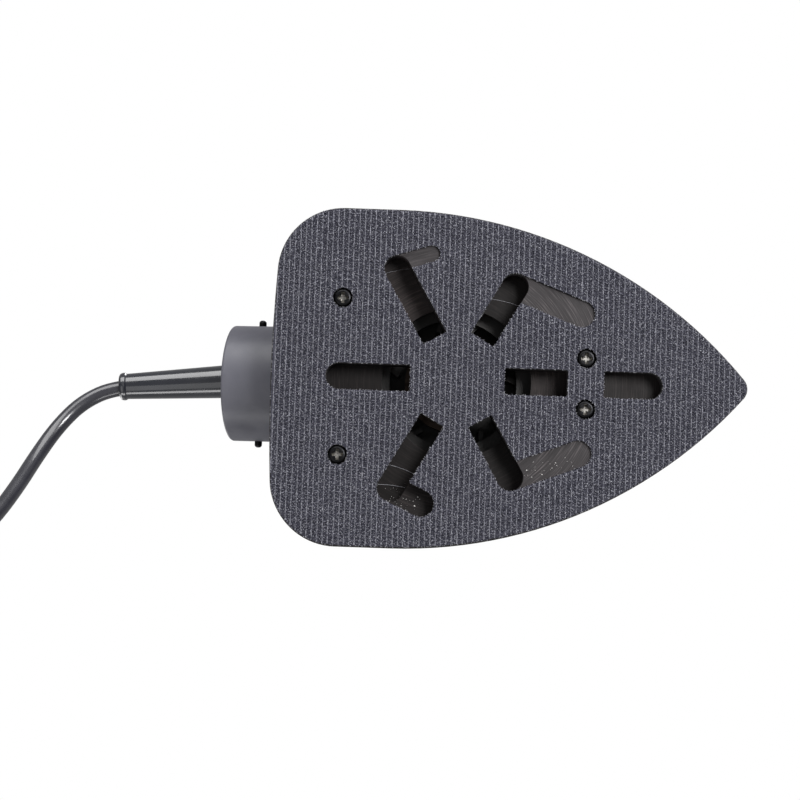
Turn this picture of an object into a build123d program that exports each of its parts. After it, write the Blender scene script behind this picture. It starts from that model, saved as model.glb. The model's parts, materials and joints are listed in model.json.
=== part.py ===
from build123d import *
import math
import os

# Detail mouse sander, in millimetres.
#
# Frame: +Z up, +X towards the tip of the sole, +Y to the left-hand side of someone behind the tool.
# The origin is where the motor shaft's axis meets the plane of the sole.

# ---- driving dimensions -------------------------------------------------------------------

SOLE_REAR = -54.8          # from the hub of the sole back to its rear edge
SOLE_TIP = 85.2            # from the hub forward to the tip: 140 mm sheet
SOLE_HALF_WIDTH = 49.8     # 100 mm sheet
REAR_BOW_RADIUS = 550.0
SOLE_CORNER_RADIUS = 19.5
SOLE_TIP_RADIUS = 4.3
SOLE_FLANK_START = -18.0
HOOK_INSET = 0.35          # the hook sheet is cut a little inside the foam
PLATE_OUTSET = 0.25        # and the plate stands a little outside it

HOOK_THICKNESS = 1.4
FOAM_THICKNESS = 5.0
PLATE_THICKNESS = 6.0
FOAM_BOTTOM = HOOK_THICKNESS
PLATE_BOTTOM = FOAM_BOTTOM + FOAM_THICKNESS
PLATE_TOP = PLATE_BOTTOM + PLATE_THICKNESS

SLOT_WIDTH = 8.0
SLOT_INNER_RADIUS = 13.8   # flat inner ends of the six radial slots
WINDOW_RADIUS = 22.3       # the plate is open above the slots inside this radius
CHANNEL_DEPTH = 3.4
SHALLOW_DEPTH = 0.8
RAISED_FLOOR = 1.7         # height of the floors that fill three of the side arms
RAISED_GAP = 0.12          # between a raised floor and the foam round it

ORBIT_RADIUS = 0.8         # eccentric throw: an orbit 1.6 mm across
SHAFT_RADIUS = 4.0
LEG_PLACES = {
    "rear_left_leg": (-34.4, 23.1),
    "rear_right_leg": (-34.4, -23.1),
    "front_left_leg": (37.8, 7.5),
    "front_right_leg": (37.8, -7.5),
}
LEG_TOP = 33.0
LEG_RADIUS = 3.6
LEG_END_RADIUS = 5.0
SOCKET_RADIUS = 7.4
SOCKET_WALL = 1.6

WALL = 2.4
GAP = 0.3                  # clearance between neighbouring bodies
FIT_GAP = 0.05             # running clearance

CHAMBER_FLOOR = 16.4
CHAMBER_RADIUS = 30.0
CHAMBER_TOP = 31.0
BRACKET_TOP = 41.0
INLET_RADIUS = 19.2

MOTOR_BOTTOM = 45.0
MOTOR_TOP = 70.0
STATOR_RADIUS = 24.0
STATOR_BORE = 14.0
ARMATURE_RADIUS = 13.4
COMMUTATOR_BOTTOM = 74.5
COMMUTATOR_TOP = 83.0
COMMUTATOR_RADIUS = 9.5
BEARING_WIDTH = 7.0
BEARING_OUTER = 11.0
UPPER_BEARING_BOTTOM = 85.0
LOWER_BEARING_BOTTOM = 33.5
PAD_BEARING_BOTTOM = 8.4

COLLAR_RADIUS = 18.0
COLLAR_BORE = 15.6
COLLAR_TILT = 8.0          # the dust collar's axis rises to the rear
COLLAR_RIM = (-68.0, 0.5, 36.5)
COLLAR_LENGTH = 21.0
PIN_RADIUS = 1.15
PIN_PROUD = 1.9
PIN_FROM_RIM = 8.6

CORD_DIAMETER = 5.0
SLEEVE_START = (-49.0, -3.9, 61.0)
SLEEVE_TIP = (-107.4, 0.95, 61.0)
SLEEVE_RUN = (SLEEVE_START[0] - SLEEVE_TIP[0], SLEEVE_TIP[1] - SLEEVE_START[1])
SLEEVE_TURN = math.degrees(math.atan2(SLEEVE_RUN[1], SLEEVE_RUN[0]))
CORD_ROUTE = [             # from inside the sleeve's tip to the coil's outer turn
    (-97.4, 0.1, 61.0),
    (-108.9, 1.1, 61.0),
    (-119.3, 6.3, 60.6),
    (-126.5, 14.6, 58.2),
    (-131.5, 24.4, 52.0),
    (-135.0, 34.6, 41.5),
    (-139.2, 44.6, 30.0),
    (-145.0, 54.0, 18.2),
    (-153.0, 62.6, 8.6),
    (-163.6, 69.6, 3.4),
    (-176.0, 73.9, 2.6),
]
COIL_CENTRE = (-192.0, 33.0)
COIL_INNER = 17.7
COIL_OUTER = 43.1
COIL_HEIGHT = 10.2
TAIL_ROUTE = [             # from the coil's upper outer turn to the plug
    (-232.6, 31.0, 7.7),
    (-233.4, 19.0, 7.4),
    (-236.6, 7.5, 6.95),
    (-237.6, -4.0, 6.95),
]
PLUG_ENTRY = (-237.6, -2.0, 6.95)

SWITCH_CENTRE = (46.8, 0.0, 55.3)
SWITCH_SLOPE = 50.0        # the nose facet's normal, from vertical towards +X
SWITCH_HALF_LENGTH = 10.5
SWITCH_HALF_WIDTH = 7.0


# ---- outlines -----------------------------------------------------------------------------

def unit_mid(centre, start, end, radius):
    """Point of an arc about centre, half way between two of its points."""
    dx = (start[0] - centre[0]) + (end[0] - centre[0])
    dy = (start[1] - centre[1]) + (end[1] - centre[1])
    size = math.hypot(dx, dy)
    return (centre[0] + dx / size * radius, centre[1] + dy / size * radius)


def beyond(centre, through, radius):
    """Point at a radius from centre, on the ray through another point."""
    dx = through[0] - centre[0]
    dy = through[1] - centre[1]
    size = math.hypot(dx, dy)
    return (centre[0] + dx / size * radius, centre[1] + dy / size * radius)


def teardrop(rear, tip, half, corner, flank_start, tip_radius):
    """Tangent-arc outline: bowed rear edge, round corners, straight sides, long flanks, round tip."""
    bow = REAR_BOW_RADIUS
    bow_centre = (rear + bow, 0.0)
    corner_x = bow_centre[0] - math.sqrt((bow - corner) ** 2 - (half - corner) ** 2)
    corner_centre = (corner_x, half - corner)
    rear_end = beyond(bow_centre, corner_centre, bow)
    reach = tip - flank_start
    flank = (reach ** 2 + half ** 2 - 2 * tip_radius * reach) / (2 * (half - tip_radius))
    flank_centre = (flank_start, half - flank)
    tip_centre = (tip - tip_radius, 0.0)
    flank_end = beyond(flank_centre, tip_centre, flank)
    side_start = (corner_x, half)
    side_end = (flank_start, half)

    def mirror(point):
        return (point[0], -point[1])

    corner_mid = unit_mid(corner_centre, rear_end, side_start, corner)
    flank_mid = unit_mid(flank_centre, side_end, flank_end, flank)
    edges = [
        ThreePointArc(mirror(rear_end), (rear, 0.0), rear_end),
        ThreePointArc(rear_end, corner_mid, side_start),
        Line(side_start, side_end),
        ThreePointArc(side_end, flank_mid, flank_end),
        ThreePointArc(flank_end, (tip, 0.0), mirror(flank_end)),
        ThreePointArc(mirror(flank_end), mirror(flank_mid), mirror(side_end)),
        Line(mirror(side_end), mirror(side_start)),
        ThreePointArc(mirror(side_start), mirror(corner_mid), mirror(rear_end)),
    ]
    return make_face(Wire(edges))


def sole_outline(grow=0.0):
    return teardrop(SOLE_REAR - grow, SOLE_TIP + grow, SOLE_HALF_WIDTH + grow, SOLE_CORNER_RADIUS + grow,
                    SOLE_FLANK_START, SOLE_TIP_RADIUS + grow)


def slab(face, bottom, top):
    """Upright prism of a flat face between two heights."""
    return Pos(0, 0, bottom) * extrude(face, top - bottom)


def group(shapes):
    """Separate solids of several shapes, kept together as one part."""
    solids = []
    for shape in shapes:
        solids.extend(shape.solids())
    return Compound(solids)


def disc(radius, bottom, top, x=0.0, y=0.0):
    return Pos(x, y, (bottom + top) / 2) * Cylinder(radius, top - bottom)


def ring(outer, inner, bottom, top, x=0.0, y=0.0):
    return disc(outer, bottom, top, x, y) - disc(inner, bottom - 1, top + 1, x, y)


def block(low, high):
    size = [high[i] - low[i] for i in range(3)]
    centre = [(high[i] + low[i]) / 2 for i in range(3)]
    return Pos(*centre) * Box(*size)


def arm(start, end, square=True, width=SLOT_WIDTH):
    """Plan of one slot arm: square (or round) where it starts, round about its end point."""
    dx = end[0] - start[0]
    dy = end[1] - start[1]
    length = math.hypot(dx, dy)
    heading = math.degrees(math.atan2(dy, dx))
    middle = Pos((start[0] + end[0]) / 2, (start[1] + end[1]) / 2) * Rot(0, 0, heading)
    plan = middle * Rectangle(length, width) + Pos(*end) * Circle(width / 2)
    if not square:
        plan = plan + Pos(*start) * Circle(width / 2)
    return plan


def radial_point(angle, radius):
    return (radius * math.cos(math.radians(angle)), radius * math.sin(math.radians(angle)))


REAR_ARM_END = 37.3        # rounding centre of the slots at 120 degrees
FRONT_ARM_END = 32.5       # rounding centre of the slots at 60 degrees
AXIAL_SLOT_END = -34.8     # rounding centre of the slot behind the hub
FRONT_BOX_END = 32.5       # square end of the slot before the hub
TIP_SLOT = (42.9, 56.4)
REAR_SIDE_END = (-9.6, 36.6)
NARROW_SIDE_WIDTH = 5.0    # the rear right side arm is narrower and less steep
NARROW_SIDE_START = (-19.4, -33.6)
NARROW_SIDE_END = (-8.6, -37.0)
FRONT_SIDE_END = (36.0, 20.6)


def deep_arms(inner=SLOT_INNER_RADIUS):
    """Plans of the six radial slots, which have dust channels above them."""
    plans = [arm((-inner, 0.0), (AXIAL_SLOT_END, 0.0))]
    front_length = FRONT_BOX_END - inner
    front_middle = (FRONT_BOX_END + inner) / 2
    plans.append(Pos(front_middle, 0) * RectangleRounded(front_length, SLOT_WIDTH, 0.8))
    for side in (1, -1):
        plans.append(arm(radial_point(120 * side, inner), radial_point(120 * side, REAR_ARM_END)))
        plans.append(arm(radial_point(60 * side, inner), radial_point(60 * side, FRONT_ARM_END)))
    return plans


def wide_side_arm():
    return arm(radial_point(120, REAR_ARM_END), REAR_SIDE_END, square=False)


def narrow_side_arm(gap=0.0):
    width = NARROW_SIDE_WIDTH - 2 * gap
    return arm(NARROW_SIDE_START, NARROW_SIDE_END, square=False, width=width)


def front_side_arm(side, gap=0.0):
    end = (FRONT_SIDE_END[0], FRONT_SIDE_END[1] * side)
    width = SLOT_WIDTH - 2 * gap
    return arm(radial_point(60 * side, FRONT_ARM_END), end, square=False, width=width)


def tip_slot():
    return arm((TIP_SLOT[0], 0.0), (TIP_SLOT[1], 0.0))


def side_arms():
    return [wide_side_arm(), narrow_side_arm(), front_side_arm(1), front_side_arm(-1)]


def raised_floors():
    """Plate material that fills three side arms almost down to the sole, clear of the deep slots."""
    gap = RAISED_GAP
    floors = []
    for plan in (narrow_side_arm(gap), front_side_arm(1, gap), front_side_arm(-1, gap)):
        for deep in deep_arms():
            plan = plan - deep
        floors.append(slab(plan, RAISED_FLOOR, PLATE_BOTTOM + 0.5))
    return floors


def cut_slots(solid, bottom, top):
    for plan in deep_arms() + side_arms() + [tip_slot()]:
        solid = solid - slab(plan, bottom, top)
    return solid


# ---- the sanding base (moves with the orbit) ----------------------------------------------

def hook_face():
    sheet = slab(sole_outline(-HOOK_INSET), 0.0, HOOK_THICKNESS)
    sheet = cut_slots(sheet, -1.0, HOOK_THICKNESS + 1.0)
    for x, y in LEG_PLACES.values():
        sheet = sheet - disc(SCREW_HOLE, -1.0, HOOK_THICKNESS + 1.0, x, y)
    return sheet


def foam_pad():
    pad = slab(sole_outline(), FOAM_BOTTOM, PLATE_BOTTOM)
    pad = cut_slots(pad, 0.0, PLATE_BOTTOM + 1.0)
    for x, y in LEG_PLACES.values():
        pad = pad - disc(SCREW_HOLE, 0.0, PLATE_BOTTOM + 1.0, x, y)
    return pad


HUB_OUTER = 13.2
HUB_FLAT = 12.9            # the openings beside the hub cut small flats on it
HUB_TOP = 16.6
RIM_HEIGHT = 1.6           # shallow rib that stiffens the top of the plate
SCREW_HOLE = 3.0           # clears the screw's head
SCREW_HEAD = 2.75
SCREW_HEAD_BOTTOM = 0.8
SCREW_SEAT = PLATE_BOTTOM + 1.2
SCREW_SHANK = 1.6


def base_plate():
    plate = slab(sole_outline(PLATE_OUTSET), PLATE_BOTTOM, PLATE_TOP)
    pocket = slab(sole_outline(-3.0), PLATE_TOP - RIM_HEIGHT, PLATE_TOP + 1.0)
    plate = plate - pocket
    plate = plate + disc(HUB_OUTER, PLATE_BOTTOM, HUB_TOP)
    floor_top = PLATE_TOP - RIM_HEIGHT
    for x, y in LEG_PLACES.values():
        plate = plate + disc(LEG_END_RADIUS + 1.0, PLATE_BOTTOM, PLATE_TOP, x, y)
    for angle in (90, -90, 30, -30, 150, -150):
        rib = Rot(0, 0, angle) * block((HUB_OUTER - 1, -0.9, floor_top - 0.5), (36.0, 0.9, PLATE_TOP))
        plate = plate + rib
    plate = plate - disc(BEARING_OUTER, PLATE_BOTTOM - 1, PAD_BEARING_BOTTOM + BEARING_WIDTH)
    plate = plate - disc(BEARING_OUTER - 1.6, PLATE_BOTTOM - 1, HUB_TOP + 1)
    window = disc(WINDOW_RADIUS, PLATE_BOTTOM - 1, PLATE_TOP + 1)
    for plan in deep_arms(HUB_FLAT):
        channel = slab(plan, PLATE_BOTTOM - 1, PLATE_BOTTOM + CHANNEL_DEPTH)
        opening = slab(plan, PLATE_BOTTOM - 1, PLATE_TOP + 1) & window
        plate = plate - channel - opening
    for plan in (tip_slot(), wide_side_arm()):
        plate = plate - slab(plan, PLATE_BOTTOM - 1, PLATE_BOTTOM + SHALLOW_DEPTH)
    for floor in raised_floors():
        plate = plate + floor
    for x, y in LEG_PLACES.values():
        plate = plate - disc(SCREW_HEAD + 0.1, PLATE_BOTTOM - 1, SCREW_SEAT, x, y)
        plate = plate - disc(SCREW_SHANK, PLATE_BOTTOM, PLATE_TOP + 1, x, y)
    return plate


LEG_FLANGE = 1.8


def leg(x, y):
    """Flexible column: a flange on the plate, a slim shaft and a bulb in the housing's socket."""
    bottom = PLATE_TOP
    column = disc(LEG_END_RADIUS, bottom, bottom + LEG_FLANGE, x, y)
    column = column + disc(LEG_RADIUS, bottom, LEG_TOP, x, y)
    column = column + disc(LEG_END_RADIUS, LEG_TOP - 6.0, LEG_TOP, x, y)
    return column - disc(SCREW_SHANK, bottom - 1, bottom + 12.0, x, y)


def cross_recess(radius, depth, z):
    """Cross-shaped driver recess in a screw head that faces down, narrower at its floor."""
    plane = Plane(origin=(0, 0, z))
    mouth = plane * (Rectangle(2 * radius, 1.1) + Rectangle(1.1, 2 * radius))
    floor = plane.offset(depth) * (Rectangle(1.1 * radius, 0.7) + Rectangle(0.7, 1.1 * radius))
    return loft([mouth, floor])


def leg_screws():
    """Four pan-head screws, entered from below, each up into its leg."""
    pieces = []
    for x, y in LEG_PLACES.values():
        head = disc(SCREW_HEAD, SCREW_HEAD_BOTTOM, SCREW_SEAT)
        head = fillet(head.edges().sort_by(Axis.Z)[0], 1.0)
        shank = disc(SCREW_SHANK, SCREW_SEAT, PLATE_TOP + 10.0)
        screw = head + shank - cross_recess(1.7, 1.6, SCREW_HEAD_BOTTOM)
        pieces.append(Pos(x, y, 0) * screw)
    return group(pieces)


def bearing(bottom):
    """Outer ring, inner ring and balls of one ball bearing about the Z axis."""
    top = bottom + BEARING_WIDTH
    middle = (bottom + top) / 2
    ball_path = 7.6
    ball_radius = 1.9
    groove = Pos(0, 0, middle) * Torus(ball_path, ball_radius + FIT_GAP)
    outer = ring(BEARING_OUTER, ball_path + 1.2, bottom, top) - groove
    inner = ring(ball_path - 1.2, SHAFT_RADIUS, bottom, top) - groove
    balls = []
    for i in range(8):
        x, y = radial_point(45 * i, ball_path)
        balls.append(Pos(x, y, middle) * Sphere(ball_radius))
    return outer, inner, group(balls)


# ---- the rotor ----------------------------------------------------------------------------

JOURNAL_BOTTOM = 8.4
JOURNAL_TOP = 17.0
SHAFT_TOP = 92.5


def motor_shaft():
    shaft = disc(SHAFT_RADIUS, JOURNAL_TOP, SHAFT_TOP)
    journal = disc(SHAFT_RADIUS, JOURNAL_BOTTOM, JOURNAL_TOP, ORBIT_RADIUS)
    collar = disc(5.4, 15.6, 18.4, ORBIT_RADIUS / 2)
    thread = disc(1.5, JOURNAL_BOTTOM - 1, JOURNAL_BOTTOM + 6, ORBIT_RADIUS)
    return shaft + journal + collar - thread


def retaining_screw():
    head = disc(3.4, 6.6, 7.6, ORBIT_RADIUS)
    shank = disc(1.5, 7.6, JOURNAL_BOTTOM + 5.5, ORBIT_RADIUS)
    return head + shank - Pos(ORBIT_RADIUS, 0, 0) * cross_recess(1.6, 0.6, 6.6)


def retaining_washer():
    return ring(5.8, 1.5, 7.6, JOURNAL_BOTTOM, ORBIT_RADIUS)


def counterweight():
    """Half ring on the far side of the eccentric throw."""
    weight = ring(14.5, SHAFT_RADIUS, 18.6, 23.4)
    weight = weight - block((3.0, -20, 18), (20, 20, 24))
    return weight


FAN_RADIUS = 28.0
FAN_BLADES = 11


def fan():
    hub = ring(8.0, SHAFT_RADIUS, 23.4, 30.0)
    plate = ring(FAN_RADIUS, 7.0, 28.2, 29.8)
    wheel = hub + plate
    for i in range(FAN_BLADES):
        blade = Pos(22.0, 0, 24.1) * Rot(0, 0, 24) * Box(12.4, 1.4, 8.6)
        wheel = wheel + Rot(0, 0, 360.0 / FAN_BLADES * i) * blade
    return wheel


def armature_core():
    core = ring(ARMATURE_RADIUS, SHAFT_RADIUS, MOTOR_BOTTOM, MOTOR_TOP)
    for i in range(12):
        slot = block((8.2, -1.5, MOTOR_BOTTOM - 1), (11.8, 1.5, MOTOR_TOP + 1))
        mouth = block((11.0, -0.6, MOTOR_BOTTOM - 1), (14.5, 0.6, MOTOR_TOP + 1))
        core = core - Rot(0, 0, 30 * i) * (slot + mouth)
    return core


def armature_winding():
    """End turns above and below the core, joined by bars in its slots."""
    lower = ring(11.8, 5.0, MOTOR_BOTTOM - 3.6, MOTOR_BOTTOM)
    upper = ring(11.8, 5.0, MOTOR_TOP, MOTOR_TOP + 3.6)
    winding = lower + upper
    bar = block((8.5, -1.2, MOTOR_BOTTOM - 1), (11.5, 1.2, MOTOR_TOP + 1))
    for i in range(12):
        winding = winding + Rot(0, 0, 30 * i) * bar
    return winding


def commutator():
    drum = ring(COMMUTATOR_RADIUS, SHAFT_RADIUS, COMMUTATOR_BOTTOM, COMMUTATOR_TOP)
    for i in range(24):
        cut = block((COMMUTATOR_RADIUS - 0.7, -0.2, COMMUTATOR_BOTTOM - 1), (12, 0.2, COMMUTATOR_TOP + 1))
        drum = drum - Rot(0, 0, 15 * i) * cut
    return drum


# ---- motor parts fixed in the housing -----------------------------------------------------

def stator_core():
    """Lamination pack with flats at the sides and two poles fore and aft."""
    pack = disc(STATOR_RADIUS, MOTOR_BOTTOM, MOTOR_TOP) & block((-30, -21, 0), (30, 21, 100))
    bore = disc(STATOR_BORE, 0, 100)
    pockets = disc(19.8, 0, 100) & block((-12.5, -30, 0), (12.5, 30, 100))
    pack = pack - bore - (pockets - block((-30, -8, 0), (30, 8, 100)))
    for x, y in BRACKET_SCREWS:
        pack = pack - disc(1.5, 0, 100, x, y)
    return pack


def field_winding(side):
    """Coil round one pole: two legs in the pockets and end turns above and below."""
    low = MOTOR_BOTTOM - 4.0
    high = MOTOR_TOP + 4.0
    shell = ring(19.4, STATOR_BORE + 0.4, low, high)
    window = block((-30, -8.1, MOTOR_BOTTOM - 0.01), (30, 8.1, MOTOR_TOP + 0.01))
    beyond_pocket = ring(40, 4, MOTOR_BOTTOM, MOTOR_TOP) - block((-12.2, -40, 0), (12.2, 40, 100))
    half = block((0.4, -40, 0), (40, 40, 100)) if side > 0 else block((-40, -40, 0), (-0.4, 40, 100))
    return (shell - window - beyond_pocket) & half


def upper_bearing_cup():
    bottom = UPPER_BEARING_BOTTOM
    cup = disc(BEARING_OUTER + 1.6, bottom, bottom + BEARING_WIDTH + 1.4)
    cup = cup - disc(BEARING_OUTER, bottom - 1, bottom + BEARING_WIDTH)
    return cup - disc(SHAFT_RADIUS + 1.2, bottom, bottom + BEARING_WIDTH + 2)


def bearing_bracket():
    """Plate above the fan chamber that seats the lower bearing and carries the stator."""
    bracket = disc(CHAMBER_RADIUS - 1.0, CHAMBER_TOP, CHAMBER_TOP + 2.4)
    bracket = bracket + disc(BEARING_OUTER + 2.4, CHAMBER_TOP, BRACKET_TOP)
    for x, y in BRACKET_SCREWS:
        bracket = bracket + disc(2.4, CHAMBER_TOP, MOTOR_BOTTOM, x, y)
        bracket = bracket - disc(1.5, CHAMBER_TOP - 1, MOTOR_BOTTOM + 1, x, y)
    bracket = bracket - disc(BEARING_OUTER, LOWER_BEARING_BOTTOM, BRACKET_TOP + 1)
    return bracket - disc(SHAFT_RADIUS + 1.5, 0, BRACKET_TOP)


BRACKET_SCREWS = [(-22.0, 0.0), (22.0, 0.0)]


def stator_screws():
    pieces = []
    for x, y in BRACKET_SCREWS:
        screw = disc(1.5, CHAMBER_TOP + 4, MOTOR_TOP, x, y) + disc(2.4, MOTOR_TOP, MOTOR_TOP + 2.2, x, y)
        pieces.append(screw)
    return group(pieces)


BRUSH_HALF = (2.6, 2.0)    # half height and half width of a brush
BRUSH_Z = 78.7
BRUSH_LENGTH = 8.0


def brush(side):
    inner = COMMUTATOR_RADIUS + FIT_GAP
    half_height, half_width = BRUSH_HALF
    bar = block((-half_width, inner - 1.0, BRUSH_Z - half_height),
                (half_width, inner + BRUSH_LENGTH, BRUSH_Z + half_height))
    bar = bar - disc(inner, 0, 100)
    return bar if side > 0 else Rot(0, 0, 180) * bar


def brush_holder(side):
    half_height, half_width = BRUSH_HALF
    start = COMMUTATOR_RADIUS + 1.6
    end = COMMUTATOR_RADIUS + BRUSH_LENGTH + 6.5
    tube = block((-half_width - 0.9, start, BRUSH_Z - half_height - 0.9),
                 (half_width + 0.9, end, BRUSH_Z + half_height + 0.9))
    tube = tube - block((-half_width, start - 1, BRUSH_Z - half_height),
                        (half_width, end - 0.9, BRUSH_Z + half_height))
    return tube if side > 0 else Rot(0, 0, 180) * tube


def brush_spring(side):
    """Coil spring behind a brush, its wire swept along a helix."""
    start = COMMUTATOR_RADIUS + FIT_GAP + BRUSH_LENGTH
    length = 5.3
    wire = 0.4
    coil_radius = 1.45
    path = Helix(pitch=(length - 2 * wire) / 4, height=length - 2 * wire, radius=coil_radius)
    section = Plane(origin=path @ 0, z_dir=path % 0) * Circle(wire)
    spring = sweep(section, path=path)
    spring = Pos(0, start + wire, BRUSH_Z) * Rot(-90, 0, 0) * spring
    return spring if side > 0 else Rot(0, 0, 180) * spring


# ---- dust path ----------------------------------------------------------------------------

def fan_shroud():
    """Fan chamber: floor with the inlet, and a round wall."""
    floor = ring(CHAMBER_RADIUS + 1.4, INLET_RADIUS, CHAMBER_FLOOR, CHAMBER_FLOOR + 1.4)
    wall = ring(CHAMBER_RADIUS + 1.4, CHAMBER_RADIUS, CHAMBER_FLOOR, CHAMBER_TOP)
    outlet = Pos(-30, 0, 24.4) * Rot(0, 90, 0) * Cylinder(5.4, 12)
    return floor + wall - outlet


def dust_seal():
    return ring(27.0, 24.0, PLATE_TOP + GAP, CHAMBER_FLOOR)


def dust_duct():
    """Tapered tube from the chamber's outlet back to the collar."""
    outlet = Plane(origin=(-31.6, 0, 24.4), z_dir=(-1, 0, 0))
    back = collar_plane(COLLAR_LENGTH - 0.1)
    outside = loft([outlet * Circle(6.8), back * Circle(COLLAR_BORE - 0.1)])
    near_end = Pos(0.2, 0, 0) * (outlet * Circle(5.4))
    far_end = Pos(-0.2, 0, 0) * (back * Circle(COLLAR_BORE - 1.6))
    inside = loft([near_end, far_end])
    return outside - inside


def collar_plane(distance):
    """Plane across the collar's axis, a distance inward from its rim, facing the rear."""
    tilt = math.radians(COLLAR_TILT)
    x = COLLAR_RIM[0] + distance * math.cos(tilt)
    z = COLLAR_RIM[2] - distance * math.sin(tilt)
    return Plane(origin=(x, COLLAR_RIM[1], z), x_dir=(0, 1, 0), z_dir=(-math.cos(tilt), 0, math.sin(tilt)))


def dust_collar():
    """Round spigot with a rounded rim and a shoulder inside the housing wall."""
    base = collar_plane(COLLAR_LENGTH)
    tube = extrude(base * Circle(COLLAR_RADIUS), COLLAR_LENGTH)
    rim = tube.edges().filter_by(GeomType.CIRCLE).sort_by(Axis.X)[0]
    tube = fillet(rim, 0.8)
    shoulder = collar_plane(COLLAR_LENGTH) * Circle(COLLAR_RADIUS + 1.2)
    tube = tube + extrude(shoulder, 1.6)
    tube = tube - extrude(collar_plane(COLLAR_LENGTH + 1) * Circle(COLLAR_BORE), COLLAR_LENGTH + 2)
    holes = collar_plane(PIN_FROM_RIM)
    hole = holes * Rot(0, 90, 0) * Cylinder(PIN_RADIUS, 60)
    return tube - hole


def bayonet_pins():
    """Two round-ended pins that stand out of the collar's sides."""
    pieces = []
    plane = collar_plane(PIN_FROM_RIM)
    length = COLLAR_RADIUS + PIN_PROUD - COLLAR_BORE
    for side in (1, -1):
        middle = COLLAR_BORE + length / 2
        pin = Cylinder(PIN_RADIUS, length)
        end = pin.edges().filter_by(GeomType.CIRCLE).sort_by(Axis.Z)[-1]
        pin = fillet(end, PIN_RADIUS * 0.75)
        pieces.append(plane * Pos(middle * side, 0, 0) * Rot(0, 90 * side, 0) * pin)
    return group(pieces)


# ---- housing ------------------------------------------------------------------------------

HOUSING_SECTIONS = [       # height, rear, tip, half width, corner radius, flank start, tip radius
    (15.6, -53.0, 80.0, 46.5, 24.0, -18.0, 10.0),
    (24.0, -53.8, 80.5, 46.8, 24.0, -18.0, 10.5),
    (38.0, -53.5, 70.0, 42.5, 24.0, -16.0, 12.5),
    (52.0, -52.0, 56.0, 36.5, 24.0, -14.0, 14.5),
    (66.0, -49.5, 47.0, 32.6, 24.0, -12.0, 15.5),
    (80.0, -46.5, 41.0, 32.4, 25.0, -10.0, 16.0),
    (91.0, -41.0, 33.0, 28.4, 24.0, -9.0, 15.0),
    (98.0, -30.0, 20.0, 19.0, 17.5, -8.0, 11.0),
]
HOUSING_TOP = 98.0


def housing_body(inset):
    """Smooth body through the teardrop sections, shrunk all round by inset."""
    faces = []
    for height, rear, tip, half, corner, start, tip_radius in HOUSING_SECTIONS:
        face = teardrop(rear + inset, tip - inset, half - inset, corner - inset, start, tip_radius - inset)
        faces.append(Pos(0, 0, height) * face)
    return loft(faces)


def nose_cut(inward):
    """Everything in front of the nose facet, moved inward by a distance."""
    facet = Location(SWITCH_CENTRE) * Rot(0, SWITCH_SLOPE, 0)
    return facet * Pos(0, 0, 30 - inward) * Box(120, 120, 60)


def switch_frame():
    return Location(SWITCH_CENTRE) * Rot(0, SWITCH_SLOPE, 0)


def vent_slots():
    """Cooling slots: a row of upright slots on each side of the motor."""
    cuts = None
    for side in (1, -1):
        for i in range(6):
            x = -20.0 + 6.0 * i
            cut = block((x - 1.1, 22.0, 52.0), (x + 1.1, 50.0, 66.0))
            cut = cut if side > 0 else mirror(cut, about=Plane.XZ)
            cuts = cut if cuts is None else cuts + cut
    return cuts


HOUSING_SCREWS = [(-42.0, 73.0), (29.0, 70.5), (62.0, 26.0), (52.0, 38.0)]
BOSS_RADIUS = 3.4
HOUSING_SCREW_RADIUS = 1.4


def shell_insides(outer):
    """Screw bosses, leg sockets and bearing and motor ribs, trimmed to the body's outside."""
    parts = None
    for x, z in HOUSING_SCREWS:
        boss = Pos(x, 0, z) * Rot(90, 0, 0) * Cylinder(BOSS_RADIUS, 110)
        parts = boss if parts is None else parts + boss
    for x, y in LEG_PLACES.values():
        side = 1 if y > 0 else -1
        low = LEG_TOP - 8.0
        high = LEG_TOP + 3.0
        outside = disc(SOCKET_RADIUS + SOCKET_WALL, low, high, x, y)
        far = y + 40 * side
        reach = block((x - 2, min(y, far), low), (x + 2, max(y, far), high))
        parts = parts + outside + reach
    seat_bottom = UPPER_BEARING_BOTTOM
    parts = parts + disc(60, seat_bottom + 1, seat_bottom + 5)
    parts = parts + ring(60, STATOR_RADIUS + 0.05, MOTOR_BOTTOM + 3, MOTOR_BOTTOM + 6)
    parts = parts + ring(60, STATOR_RADIUS + 0.05, MOTOR_TOP - 4, MOTOR_TOP - 1)
    parts = parts + ring(60, CHAMBER_RADIUS + 1.4, 26.0, 28.5)
    return parts & outer


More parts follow.
